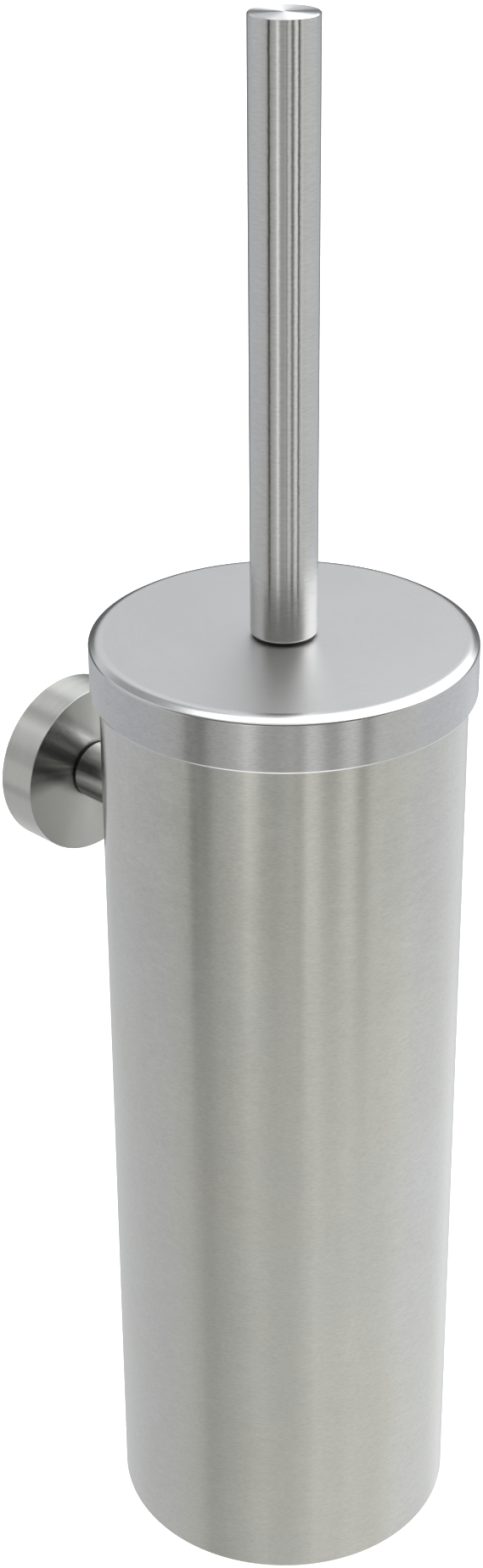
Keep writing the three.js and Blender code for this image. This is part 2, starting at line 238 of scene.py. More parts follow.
class Nodes:
    """A short way to wire the nodes of a shader."""

    def __init__(self, tree):
        self.tree = tree

    def node(self, kind, **settings):
        made = self.tree.nodes.new(kind)
        for key, value in settings.items():
            setattr(made, key, value)
        return made

    def feed(self, socket, source):
        """Gives a socket a value or another node's output."""
        if isinstance(source, bpy.types.NodeSocket):
            self.tree.links.new(source, socket)
        else:
            socket.default_value = source

    def math(self, operation, *sources):
        made = self.node("ShaderNodeMath", operation=operation)
        for socket, source in zip(made.inputs, sources):
            self.feed(socket, source)
        return made.outputs[0]

    def vector(self, operation, *sources):
        made = self.node("ShaderNodeVectorMath", operation=operation)
        for socket, source in zip(made.inputs, sources):
            self.feed(socket, source)
        return made.outputs["Value" if operation == "DOT_PRODUCT" else "Vector"]

    def scaled(self, vector, factor):
        made = self.node("ShaderNodeVectorMath", operation="SCALE")
        self.feed(made.inputs[0], vector)
        self.feed(made.inputs["Scale"], factor)
        return made.outputs[0]

    def combined(self, *parts):
        made = self.node("ShaderNodeCombineXYZ")
        for socket, part in zip(made.inputs, parts):
            self.feed(socket, part)
        return made.outputs[0]

    def parts(self, vector):
        made = self.node("ShaderNodeSeparateXYZ")
        self.feed(made.inputs[0], vector)
        return made.outputs

    def product(self, *sources):
        total = sources[0]
        for source in sources[1:]:
            total = self.math("MULTIPLY", total, source)
        return total

    def total(self, *sources):
        total = sources[0]
        for source in sources[1:]:
            total = self.math("ADD", total, source)
        return total

    def mixed(self, first, second, share):
        """Numbers or outputs: the first where share is 0 and the second where it is 1."""
        made = self.node("ShaderNodeMix", data_type="FLOAT")
        self.feed(made.inputs["Factor"], share)
        self.feed(made.inputs["A"], first)
        self.feed(made.inputs["B"], second)
        return made.outputs["Result"]

    def smooth(self, value, start, end):
        """Rises gently from 0 at start to 1 at end."""
        made = self.node("ShaderNodeMapRange", interpolation_type="SMOOTHSTEP")
        self.feed(made.inputs["Value"], value)
        made.inputs["From Min"].default_value = start
        made.inputs["From Max"].default_value = end
        return made.outputs[0]

    def window(self, value, start, end, edge):
        """1 between start and end, and 0 beyond a soft edge on each side."""
        rise = self.smooth(value, start - edge, start)
        return self.product(rise, self.math("SUBTRACT", 1.0, self.smooth(value, end, end + edge)))

    def ramp(self, value, stops):
        """A colour ramp of (position, colour or level) stops."""
        made = self.node("ShaderNodeValToRGB")
        self.feed(made.inputs[0], value)
        made.color_ramp.interpolation = "EASE"
        elements = made.color_ramp.elements
        for i, (position, colour) in enumerate(stops):
            element = elements[i] if i < 2 else elements.new(position)
            element.position = position
            rgb = colour if isinstance(colour, tuple) else (colour, colour, colour)
            element.color = (*rgb, 1)
        return made.outputs[0]

    def noise(self, place, scale, detail=2.0, roughness=0.5):
        made = self.node("ShaderNodeTexNoise")
        self.feed(made.inputs["Vector"], place)
        made.inputs["Scale"].default_value = scale
        made.inputs["Detail"].default_value = detail
        made.inputs["Roughness"].default_value = roughness
        return made.outputs["Fac"]

    def around(self, level, spread, value):
        """The level, plus or minus the spread as value runs from 0 to 1."""
        return self.math("MULTIPLY_ADD", value, 2 * spread, level - spread)


class Material(Nodes):
    """A material with its Principled shader."""

    def __init__(self, name):
        self.made = bpy.data.materials.new(name)
        self.made.use_nodes = True
        super().__init__(self.made.node_tree)
        self.shader = self.tree.nodes["Principled BSDF"]

    def set(self, name, source):
        self.feed(self.shader.inputs[name], source)

    def place(self):
        return self.node("ShaderNodeTexCoord").outputs["Object"]

    def polar(self, centre, axis):
        """The cosine and sine of the turn about an axis, the distance from it and the way along it."""
        x, y, z = self.parts(self.vector("SUBTRACT", self.place(), centre))
        across, along = (y, z) if axis == "Z" else (z, y)
        squares = self.total(self.product(x, x), self.product(across, across))
        distance = self.math("MAXIMUM", self.math("SQRT", squares), NEAR_AXIS)
        cosine = self.math("DIVIDE", x, distance)
        sine = self.math("DIVIDE", across, distance)
        return cosine, sine, distance, along

    def bumps(self, *heights_and_depths):
        """Layers of bumps: each is a height from 0 to 1 and its depth in metres."""
        normal = None
        for height, depth in heights_and_depths:
            made = self.node("ShaderNodeBump")
            made.inputs["Distance"].default_value = depth
            self.feed(made.inputs["Height"], height)
            if normal:
                self.feed(made.inputs["Normal"], normal)
            normal = made.outputs[0]
        self.set("Normal", normal)


# ---- Materials ----


# A quarter turn of the anisotropy lays its streaks round the axis.
ROUND_THE_AXIS = 0.25
# Broad brush lines and waves, against the fine lines' length or spacing.
BROAD_LENGTH = 4
BROAD_SPACING = 5
BROAD_GRAIN = 0.35
WAVE_LENGTH = 1.6
WAVE_SPACING = 0.45
# How far the roughness changes with the clouds and with the broad lines.
CLOUD_GLOSS = 0.04
STREAK_GLOSS = 0.03
# Where a wedge of painted dark reflection starts and is full, in squares of the cosine, and the uneven
# sectors inside it.
WEDGE_START = 0.60
WEDGE_FULL = 0.90
SECTORS = 5.0
SECTOR_SPREAD = 0.7


def brushed_steel(name, centre, axis="Z", colour=(0.62, 0.62, 0.61), roughness=0.25, anisotropy=1.0,
                  pitch=0.5, dash=3.0, radius=45.0, grain=0.04, relief=0.01, wobble=0.0, cloud=0.03,
                  painted_reflection=0.0, painted_reflection_way=(1, 0)):
    """Stainless steel brushed round an axis. In millimetres: pitch is the spacing of the brush lines,
    dash is their length at the radius, relief is their depth, and wobble is the depth of the gentle
    unevenness that frays the reflections. Grain and cloud are how far the brightness changes. The last
    two arguments paint the steel darker in two wedges about the axis: the first gives how much, and the
    second gives the way the wedges point. This is a painted dark reflection of near things that the far
    surroundings can't give."""
    steel = Material(name)
    cosine, sine, distance, along = steel.polar(centre, axis)
    profile = steel.total(distance, along)

    def lines(length, spacing):
        turn = radius / length
        return steel.combined(
            steel.product(cosine, turn),
            steel.product(sine, turn),
            steel.product(profile, 1 / (spacing * MM)),
        )

    fine = steel.noise(lines(dash, pitch), scale=1.0, detail=2.0, roughness=0.6)
    broad_lines = lines(dash * BROAD_LENGTH, pitch * BROAD_SPACING)
    broad = steel.noise(broad_lines, scale=1.0, detail=3.0, roughness=0.6)
    waves = steel.noise(lines(dash * WAVE_LENGTH, dash * WAVE_SPACING), scale=1.0, detail=1.0)
    clouds = steel.noise(steel.place(), scale=45.0, detail=3.0, roughness=0.6)
    patches = steel.noise(steel.place(), scale=14.0, detail=2.0)
    bright = steel.product(
        steel.around(1.0, grain, fine),
        steel.around(1.0, grain * BROAD_GRAIN, broad),
        steel.around(1.0, cloud, clouds),
    )
    # Painted dark reflection: the steel is painted darker in two wedges about the axis. It stands in
    # for dark reflections of near things that the far surroundings can't give.
    if painted_reflection:
        along_painted_reflection = steel.total(steel.product(cosine, painted_reflection_way[0]), steel.product(sine, painted_reflection_way[1]))
        wedge = steel.smooth(steel.product(along_painted_reflection, along_painted_reflection), WEDGE_START, WEDGE_FULL)
        turn = steel.combined(steel.product(cosine, SECTORS), steel.product(sine, SECTORS))
        sectors = steel.noise(turn, scale=1.0)
        darker = steel.product(wedge, painted_reflection, steel.around(1.0, SECTOR_SPREAD, sectors))
        bright = steel.product(bright, steel.math("SUBTRACT", 1.0, darker))
    red, green, blue = colour
    warmth = steel.around(1.0, cloud, patches)
    tint = steel.combined(red, green, steel.product(warmth, blue))
    steel.set("Base Color", steel.scaled(tint, bright))
    cloudy = steel.around(roughness, CLOUD_GLOSS, clouds)
    streaky = steel.around(0.0, STREAK_GLOSS, broad)
    steel.set("Roughness", steel.total(cloudy, streaky))
    steel.set("Metallic", 1.0)
    steel.set("Anisotropic", anisotropy)
    steel.set("Anisotropic Rotation", ROUND_THE_AXIS)
    steel.set("Tangent", steel.node("ShaderNodeTangent", direction_type="RADIAL", axis=axis).outputs[0])
    steel.bumps((waves, wobble * MM), (fine, relief * MM))
    return steel.made


RUB_SECTORS = 6.0
RUB_SPACING = 0.7 * MM
SATIN_SPREAD = 0.03
SATIN_PITS = 0.006 * MM
SATIN_RINGS = 0.004 * MM
MOULDED_GRAIN = 0.02 * MM
CAST_PITS = 0.03 * MM


def satin_steel(name, centre, colour, roughness):
    """Steel with a fine even satin and a faint circular rub."""
    steel = Material(name)
    cosine, sine, distance, _ = steel.polar(centre, "Z")
    rub = steel.combined(
        steel.product(cosine, RUB_SECTORS),
        steel.product(sine, RUB_SECTORS),
        steel.product(distance, 1 / RUB_SPACING),
    )
    rings = steel.noise(rub, scale=1.0)
    pits = steel.noise(steel.place(), scale=1500.0, roughness=0.6)
    clouds = steel.noise(steel.place(), scale=40.0, detail=3.0, roughness=0.6)
    bright = steel.product(
        steel.around(1.0, SATIN_SPREAD, rings),
        steel.around(1.0, SATIN_SPREAD, clouds),
    )
    steel.set("Base Color", steel.scaled(colour, bright))
    steel.set("Roughness", steel.around(roughness, SATIN_SPREAD, clouds))
    steel.set("Metallic", 1.0)
    steel.bumps((pits, SATIN_PITS), (rings, SATIN_RINGS))
    return steel.made


def moulded(name, colour, roughness):
    """A moulded plastic or rubber with a fine texture and slightly uneven gloss."""
    plastic = Material(name)
    grain = plastic.noise(plastic.place(), scale=1800.0)
    clouds = plastic.noise(plastic.place(), scale=60.0, detail=3.0)
    plastic.set("Base Color", plastic.scaled(colour, plastic.around(1.0, 0.15, clouds)))
    plastic.set("Roughness", plastic.around(roughness, 0.08, clouds))
    plastic.bumps((grain, MOULDED_GRAIN))
    return plastic.made


def cast(name, colour, roughness):
    """Bare die-cast metal: matt and slightly pitted."""
    alloy = Material(name)
    pits = alloy.noise(alloy.place(), scale=1400.0, detail=3.0, roughness=0.6)
    clouds = alloy.noise(alloy.place(), scale=120.0, detail=3.0)
    alloy.set("Base Color", alloy.scaled(colour, alloy.around(1.0, 0.1, clouds)))
    alloy.set("Roughness", alloy.around(roughness, 0.1, pits))
    alloy.set("Metallic", 1.0)
    alloy.bumps((pits, CAST_PITS))
    return alloy.made


# About how far from the axis the bristles reach.
FIBRE_REACH = 36 * MM


def bristle_fibre(name, colour):
    """Nylon fibres, a little lighter towards the tips."""
    fibres = Material(name)
    _, _, distance, _ = fibres.polar(CAN_AXIS, "Z")
    strands = fibres.noise(fibres.place(), scale=700.0, detail=1.0)
    reach = fibres.math("DIVIDE", distance, FIBRE_REACH)
    bright = fibres.product(fibres.around(1.0, 0.35, strands), fibres.total(reach, 0.45))
    fibres.set("Base Color", fibres.scaled(colour, bright))
    fibres.set("Roughness", fibres.around(0.42, 0.1, strands))
    return fibres.made


CAN_STEEL = brushed_steel("can_steel", CAN_AXIS, colour=(0.662, 0.660, 0.622), roughness=0.17,
                          anisotropy=0.8, pitch=0.32, dash=1.3, radius=45, grain=0.16, relief=0.008,
                          cloud=0.06)
LID_STEEL = satin_steel("lid_steel", CAN_AXIS, (0.63, 0.626, 0.617), 0.38)
RIM_STEEL = satin_steel("lid_rim_steel", CAN_AXIS, (0.66, 0.66, 0.655), 0.24)
SKIRT_STEEL = brushed_steel("skirt_steel", CAN_AXIS, colour=(0.62, 0.62, 0.622), roughness=0.17,
                            anisotropy=0.8, pitch=0.32, dash=1.3, radius=47, grain=0.16, relief=0.008)
HANDLE_STEEL = brushed_steel("handle_steel", CAN_AXIS, roughness=0.17, pitch=0.4, dash=2.5,
                             radius=8, grain=0.11, relief=0.006, wobble=0.03)
# The handle's end face has a real turned finish. Its colour, lighter than the tube's steel, is a
# painted highlight.
TURNED_STEEL_PAINTED_LIGHTER = brushed_steel("turned_steel_painted_highlight", CAN_AXIS, colour=(0.86, 0.86, 0.86), roughness=0.38,
                             anisotropy=0.9, pitch=0.35, dash=6.0, radius=5, grain=0.04, relief=0.004)
ROSE_STEEL = brushed_steel("rose_steel", ARM_AXIS, "Y", (0.62, 0.62, 0.585), roughness=0.24,
                           pitch=0.4, dash=6.0, radius=20, grain=0.05, relief=0.006, wobble=0.01)
# The rose's face is a darker copy of the side's steel, with two darker wedges. Both are painted dark
# reflection of near things, laid over the face's real turned finish.
FACE_STEEL = brushed_steel("rose_face_steel", ARM_AXIS, "Y", (0.57, 0.57, 0.53), roughness=0.24,
                           pitch=0.4, dash=6.0, radius=20, grain=0.05, relief=0.006,
                           painted_reflection=0.62, painted_reflection_way=(-0.84, 0.545))
# The arm's two darker wedges are painted dark reflection of near things, such as the can beside it.
ARM_STEEL = brushed_steel("arm_steel", ARM_AXIS, "Y", (0.72, 0.72, 0.73), roughness=0.17,
                          pitch=0.4, dash=2.5, radius=8, grain=0.08, relief=0.006, wobble=0.012,
                          painted_reflection=0.62, painted_reflection_way=(-0.85, -0.53))
FASTENER_STEEL = brushed_steel("fastener_steel", ARM_AXIS, "Y", roughness=0.32, anisotropy=0.4,
                               radius=5)
STEM_STEEL = brushed_steel("stem_steel", CAN_AXIS, roughness=0.3, anisotropy=0.5, radius=5)
CAST_ALLOY = cast("cast_alloy", (0.5, 0.5, 0.5), 0.55)
BLACK_PLASTIC = moulded("black_plastic", (0.018, 0.018, 0.019), 0.42)
BLACK_RUBBER = moulded("black_rubber", (0.008, 0.008, 0.009), 0.7)
BRISTLE_NYLON = bristle_fibre("bristle_nylon", (0.035, 0.036, 0.04))

# ---- Can, base and liner ----

CAN_WALL = 0.8 * MM
SHEET_EDGE = 0.3 * MM
CAN_FOOT_ROUND = 0.6 * MM
# The middle of the base is pressed up by BASE_STEP. The step lies between two shares of its radius.
BASE_STEP = 0.35 * MM
BASE_STEP_START = 0.8
BASE_STEP_END = 0.86
BASE_STEP_ROUND = 2 * MM
# The liner widens upwards to a stepped rim, and its underside is hollow inside a foot ring.
LINER_WALL = 1.2 * MM
LINER_FLOOR = 2 * MM
LINER_TAPER = 1.6 * MM
LINER_RIM = 3 * MM
LINER_RIM_STEP = 0.5 * MM
LINER_HOLLOW = 0.8 * MM
LINER_FOOT_WIDTH = 5 * MM


def can_shell():
    low, high = heights("can_shell")
    outline = [
        (CAN_RADIUS - CAN_WALL, low),
        (CAN_RADIUS, low, CAN_FOOT_ROUND),
        (CAN_RADIUS, high, SHEET_EDGE),
        (CAN_RADIUS - CAN_WALL, high, SHEET_EDGE),
    ]
    bm = revolved(outline, FINE, closed=True)
    on_can_axis("can_shell", bm, "holder", "can_steel", CAN_STEEL)


def can_base():
    low, high = heights("can_base")
    radius = sizes("can_base")[0] / 2
    outline = [
        (0, low + BASE_STEP),
        (radius * BASE_STEP_START, low + BASE_STEP, BASE_STEP_ROUND),
        (radius * BASE_STEP_END, low, BASE_STEP_ROUND),
        (radius, low, SHEET_EDGE),
        (radius, high, SHEET_EDGE),
        (0, high),
    ]
    bm = revolved(outline, FINE, closed=False)
    on_can_axis("can_base", bm, "holder", "can_steel", CAN_STEEL)


def can_liner():
    low, high = heights("can_liner")
    top = sizes("can_liner")[0] / 2
    foot = top - LINER_TAPER
    outline = [
        (0, low + LINER_HOLLOW),
        (foot - LINER_FOOT_WIDTH - MM, low + LINER_HOLLOW, 0.6 * MM),
        (foot - LINER_FOOT_WIDTH, low, 0.3 * MM),
        (foot, low, 1.5 * MM),
        (top - LINER_RIM_STEP, high - LINER_RIM, 0.15 * MM),
        (top, high - LINER_RIM, 0.2 * MM),
        (top, high, 0.5 * MM),
        (top - LINER_WALL, high, 0.4 * MM),
        (foot - LINER_WALL, low + LINER_FLOOR, 1.2 * MM),
        (0, low + LINER_FLOOR),
    ]
    bm = revolved(outline, FINE, closed=False)
    on_can_axis("can_liner", bm, "liner", "black_plastic", BLACK_PLASTIC)


# ---- Lid and bush ----

LID_SHEET = 0.8 * MM
# The lid's upper edge is a bevel between two rounds: LID_EDGE across and LID_BEVEL high.
LID_EDGE = 2 * MM
LID_BEVEL = 1.2 * MM
LID_BEVEL_LOW_ROUND = 0.8 * MM
LID_BEVEL_HIGH_ROUND = 3.2 * MM
LID_HOLE = 4.6 * MM
LID_HEM = 0.45 * MM
LID_HEM_ROUND = 0.05 * MM
# The skirt's brushing starts this far below the top, and the rim's finer satin is this wide.
SKIRT_BELOW = 1.7 * MM
RIM_WIDTH = 3.6 * MM
BUSH_NECK = 4.3 * MM
BUSH_LIP = 5.1 * MM
BUSH_LIP_HEIGHT = 1 * MM
BUSH_FLANGE = 0.5 * MM
STEM_HOLE = 3.3 * MM


def lid():
    low, high = heights("lid")
    radius = sizes("lid")[0] / 2
    inner = radius - LID_SHEET
    outline = [
        (inner, low, LID_HEM / 2),
        (radius - LID_HEM / 2, low, LID_HEM_ROUND),
        (radius, low + LID_HEM, LID_HEM_ROUND),
        (radius, high - LID_BEVEL, LID_BEVEL_LOW_ROUND),
        (radius - LID_EDGE, high, LID_BEVEL_HIGH_ROUND),
        (LID_HOLE, high, 0.2 * MM),
        (LID_HOLE, high - LID_SHEET, 0.2 * MM),
        (inner - LID_EDGE, high - LID_SHEET, 1.0 * MM),
        (inner, high - LID_EDGE - 0.3 * MM, 0.4 * MM),
    ]
    piece = on_can_axis("lid", revolved(outline, FINE, closed=True), "lid", "lid_steel", LID_STEEL)
    piece.data.materials.append(RIM_STEEL)
    piece.data.materials.append(SKIRT_STEEL)
    for face in piece.data.polygons:
        from_axis = math.hypot(face.center.x - CAN_AXIS[0], face.center.y - CAN_AXIS[1])
        on_rim = from_axis > radius - RIM_WIDTH
        on_skirt = face.center.z < high - SKIRT_BELOW
        face.material_index = 2 if on_skirt else int(on_rim)


def lid_bush():
    low, high = heights("lid_bush")
    flange = sizes("lid_bush")[0] / 2
    outline = [
        (STEM_HOLE, low),
        (BUSH_LIP, low, 0.4 * MM),
        (BUSH_LIP, low + BUSH_LIP_HEIGHT, 0.1 * MM),
        (BUSH_NECK, low + BUSH_LIP_HEIGHT),
        (BUSH_NECK, high - BUSH_FLANGE),
        (flange, high - BUSH_FLANGE, 0.1 * MM),
        (flange, high, 0.15 * MM),
        (STEM_HOLE, high),
    ]
    bm = revolved(outline, ROUND, closed=True)
    on_can_axis("lid_bush", bm, "lid", "black_plastic", BLACK_PLASTIC)


# ---- Handle, stem and fasteners on the can's axis ----

HANDLE_WALL = 1 * MM
HANDLE_CAP = 2 * MM
HANDLE_CHAMFER = 0.3 * MM
HANDLE_CHAMFER_ROUND = 0.12 * MM
HANDLE_FOOT_ROUND = 0.6 * MM
PLUG_BORE = 14 * MM
STEM_CHAMFER = 0.6 * MM
THREAD_PITCH = 1 * MM
THREAD_DEPTH = 0.45 * MM
# The stem's lower thread, in the core, ends this high. Its upper thread starts this far below the nut.
CORE_THREAD = 16 * MM
THREAD_BELOW_NUT = 8 * MM
NUT_BEVEL = 0.35 * MM
NUT_BEVEL_STEPS = 3


def handle_tube():
    low, high = heights("handle_tube")
    radius = sizes("handle_tube")[0] / 2
    inner = radius - HANDLE_WALL
    outline = [
        (0, high - HANDLE_CAP),
        (inner, high - HANDLE_CAP, 0.3 * MM),
        (inner, low, 0.1 * MM),
        (radius, low, HANDLE_FOOT_ROUND),
        (radius, high - HANDLE_CHAMFER, HANDLE_CHAMFER_ROUND),
        (radius - HANDLE_CHAMFER, high, HANDLE_CHAMFER_ROUND),
        (0, high),
    ]
    bm = revolved(outline, ROUND, closed=False)
    piece = on_can_axis("handle_tube", bm, "brush", "handle_steel", HANDLE_STEEL)
    piece.data.materials.append(TURNED_STEEL_PAINTED_LIGHTER)
    for face in piece.data.polygons:
        # The top face and its chamfer take the lighter steel. Its extra lightness is a painted
        # highlight.
        face.material_index = int(face.center.z > high - HANDLE_CHAMFER)


def handle_foot_plug():
    low, high = heights("handle_foot_plug")
    radius = sizes("handle_foot_plug")[0] / 2
    outline = [
        (0, low + PLUG_BORE),
        (STEM_HOLE, low + PLUG_BORE, 0.2 * MM),
        (STEM_HOLE, low, 0.3 * MM),
        (radius, low, 0.3 * MM),
        (radius, high, 0.5 * MM),
        (0, high),
    ]
    bm = revolved(outline, ROUND, closed=False)
    on_can_axis("handle_foot_plug", bm, "brush", "fastener_steel", STEM_STEEL)


def thread(low, high, radius):
    """The outline of a thread's V grooves, drawn as rings, on a rod between two heights."""
    outline = []
    for i in range(int((high - low) / THREAD_PITCH)):
        start = low + i * THREAD_PITCH
        outline.append((radius, start + 0.1 * THREAD_PITCH))
        outline.append((radius - THREAD_DEPTH, start + 0.5 * THREAD_PITCH))
        outline.append((radius, start + 0.9 * THREAD_PITCH))
    return outline


def brush_stem():
    low, high = heights("brush_stem")
    radius = sizes("brush_stem")[0] / 2
    nut_low = heights("stem_nut")[0]
    outline = [(0, low), (radius - STEM_CHAMFER, low), (radius, low + STEM_CHAMFER)]
    outline += thread(low + MM, low + CORE_THREAD, radius)
    outline += thread(nut_low - THREAD_BELOW_NUT, high - MM, radius)
    outline += [(radius, high - STEM_CHAMFER), (radius - STEM_CHAMFER, high), (0, high)]
    bm = revolved(outline, SMALL, closed=False)
    on_can_axis("brush_stem", bm, "brush", "fastener_steel", STEM_STEEL)


def stem_washer():
    low, high = heights("stem_washer")
    radius = sizes("stem_washer")[0] / 2
    corners = [(STEM_HOLE, low), (radius, low), (radius, high), (STEM_HOLE, high)]
    outline = [(*point, 0.2 * MM) for point in corners]
    bm = revolved(outline, ROUND, closed=True)
    on_can_axis("stem_washer", bm, "brush", "fastener_steel", STEM_STEEL)


def rod(radius, low, high, sides=SMALL):
    """A plain cylinder or prism about +Z, to cut with."""
    return revolved([(0, low), (radius, low), (radius, high), (0, high)], sides, closed=False)


def hexagon(flat_to_flat, low, high):
    """A hexagonal prism about +Z with two of its corners on the x axis."""
    return rod(flat_to_flat / math.cos(math.pi / 6) / 2, low, high, sides=6)


def stem_nut():
    low, high = heights("stem_nut")
    width = min(sizes("stem_nut")[0], sizes("stem_nut")[1])
    piece = to_object("stem_nut_fine", moved(hexagon(width, low, high), CAN_AXIS))
    carve(piece, to_object("nut_bore", moved(rod(STEM_HOLE, low - MM, high + MM), CAN_AXIS)))
    bevel = piece.modifiers.new("bevel", "BEVEL")
    bevel.width = NUT_BEVEL
    bevel.segments = NUT_BEVEL_STEPS
    bevel.limit_method = "ANGLE"
    settle(piece)
    place(piece, "stem_nut", "brush", "fastener_steel", STEM_STEEL)


# ---- Brush head ----

CORE_NECK = 5.5 * MM
CORE_SOCKET = 18.2 * MM


def brush_core():
    low, high = heights("brush_core")
    radius = sizes("brush_core")[0] / 2
    socket_end = high - CORE_SOCKET
    outline = [
        (0, low),
        (radius - 2 * MM, low, 0.8 * MM),
        (radius, low + 3 * MM, 1 * MM),
        (radius, high - 7 * MM, 0.8 * MM),
        (CORE_NECK + 0.6 * MM, high - 2.4 * MM, 0.5 * MM),
        (CORE_NECK, high, 0.6 * MM),
        (STEM_HOLE, high, 0.3 * MM),
        (STEM_HOLE, socket_end, 0.3 * MM),
        (0, socket_end),
    ]
    bm = revolved(outline, ROUND, closed=False)
    on_can_axis("brush_core", bm, "brush", "black_plastic", BLACK_PLASTIC)


# Tufts in a row, and fibres in a tuft.
TUFTS = 26
FIBRES = 15
FIBRE_RADIUS = 0.19 * MM
FIBRE_STEPS = 4
FIBRE_SIDES = 3
FIBRE_TAPER = 0.25
ROW_SEED = 100
TIP_SEED = 99
# How far short of its CAD solid the longest bristle ends.
BRISTLE_INSET = 0.3 * MM
ROOT_DEPTH = 0.4 * MM
BRISTLE_ROWS = 7
# In a row: the spread of a tuft's tips round the axis in radians. In millimetres, the spread and limit
# of their rise, the most that a root is off its tuft's centre, and the most that a bristle bows.
ROW_SPREAD = 0.035
ROW_RISE = 2.0
ROW_RISE_LIMIT = 4.4
ROOT_SHIFT = 0.7
ROW_BOW = 0.9
# The most that a bow turns up or down, as a share of it, and the shortest bristle's share of the reach.
ROW_BOW_RISE = 0.6
ROW_SHORTEST = 0.965
# At the tip, bristles point down the axis where their share is 0 and outwards where it is 1. Tufts
# follow each other by a share of a turn and by steps of share, so that they fill the dome evenly.
TIP_GOLDEN = 1.618
TIP_TURNS = 3
TIP_INNER_SHARE = 0.25
TIP_SHARE_STEP = 7
TIP_SHARE_SPREAD = 0.07
TIP_LEAST_SHARE = 0.05
TIP_TURN_SPREAD = 0.12
TIP_FLATTEST = 0.97
TIP_LEAST_DROP = 0.12
# In millimetres: how far from the axis the tip's roots are, and how far below the top at most.
TIP_ROOTS = (1.5, 5.5)
TIP_ROOT_DROP = 0.2
TIP_SAG = 0.5 * MM


def fibre(bm, root, tip, bend):
    """A thin three-sided strand from root to tip that bows by bend."""
    along = (tip - root).normalized()
    side = along.cross(Vector((0.3, 0.5, 0.8))).normalized()
    other = along.cross(side)
    rings = []
    for i in range(FIBRE_STEPS + 1):
        t = i / FIBRE_STEPS
        centre = root.lerp(tip, t) + bend * (4 * t * (1 - t))
        radius = FIBRE_RADIUS * (1 - FIBRE_TAPER * t)
        ring = []
        for k in range(FIBRE_SIDES):
            turn = 2 * math.pi * k / FIBRE_SIDES
            out = math.cos(turn) * side + math.sin(turn) * other
            ring.append(bm.verts.new(centre + radius * out))
        rings.append(ring)
    for low, high in zip(rings, rings[1:]):
        bridge(bm, low, high)
    bm.faces.new(rings[-1])
    bm.faces.new(list(reversed(rings[0])))


def bristle_row(number):
    node = f"bristle_row_{number}"
    random.seed(ROW_SEED + number)
    low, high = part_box(node)
    reach = (high[0] - low[0]) / 2 - BRISTLE_INSET
    level = (low[2] + high[2]) / 2
    root_radius = sizes("brush_core")[0] / 2 - ROOT_DEPTH
    bm = bmesh.new()
    for tuft in range(TUFTS):
        angle = 2 * math.pi * (tuft + 0.5 * (number % 2)) / TUFTS
        for _ in range(FIBRES):
            spread = random.gauss(0, ROW_SPREAD)
            lift = max(-ROW_RISE_LIMIT, min(ROW_RISE_LIMIT, random.gauss(0, ROW_RISE))) * MM
            out = Vector((math.cos(angle), math.sin(angle), 0))
            tip_out = Vector((math.cos(angle + spread), math.sin(angle + spread), 0))
            root_shift = Vector((-out.y, out.x, 0)) * random.uniform(-ROOT_SHIFT, ROOT_SHIFT) * MM
            root_rise = random.uniform(-ROOT_SHIFT, ROOT_SHIFT) * MM
            root = out * root_radius + root_shift + Vector((0, 0, level + root_rise))
            length = reach * random.uniform(ROW_SHORTEST, 1.0)
            tip = tip_out * length + Vector((0, 0, level + lift))
            bend = Vector((-out.y, out.x, random.uniform(-ROW_BOW_RISE, ROW_BOW_RISE)))
            fibre(bm, root, tip, bend * random.uniform(-ROW_BOW, ROW_BOW) * MM)
    on_can_axis(node, bm, "brush", "bristle_nylon", BRISTLE_NYLON)


def bristle_tip():
    node = "bristle_tip"
    random.seed(TIP_SEED)
    low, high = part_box(node)
    reach = (high[0] - low[0]) / 2 - BRISTLE_INSET
    depth = high[2] - low[2] - BRISTLE_INSET
    top = high[2]
    tufts = TUFTS * 2
    bm = bmesh.new()
    for tuft in range(tufts):
        angle = 2 * math.pi * tuft / tufts * TIP_GOLDEN * TIP_TURNS
        ring_share = TIP_INNER_SHARE + (1 - TIP_INNER_SHARE) * (tuft * TIP_SHARE_STEP % tufts) / tufts
        for _ in range(FIBRES):
            turn = angle + random.gauss(0, TIP_TURN_SPREAD)
            share = min(1.0, max(TIP_LEAST_SHARE, ring_share + random.gauss(0, TIP_SHARE_SPREAD)))
            slope = share * math.pi / 2 * TIP_FLATTEST
            out = Vector((math.cos(turn), math.sin(turn), 0))
            from_axis = random.uniform(*TIP_ROOTS)
            root = out * from_axis * MM + Vector((0, 0, top - random.uniform(0, TIP_ROOT_DROP) * MM))
            drop = depth * max(TIP_LEAST_DROP, math.cos(slope))
            tip = out * reach * math.sin(slope) + Vector((0, 0, top - drop))
            fibre(bm, root, tip, Vector((0, 0, -TIP_SAG * share)))
    on_can_axis(node, bm, "brush", "bristle_nylon", BRISTLE_NYLON)


# ---- Wall mount ----

ARM_SCREW_HOLE = 3.1 * MM
ARM_BORE = 8 * MM
BRACKET_GROOVE = 1.6 * MM
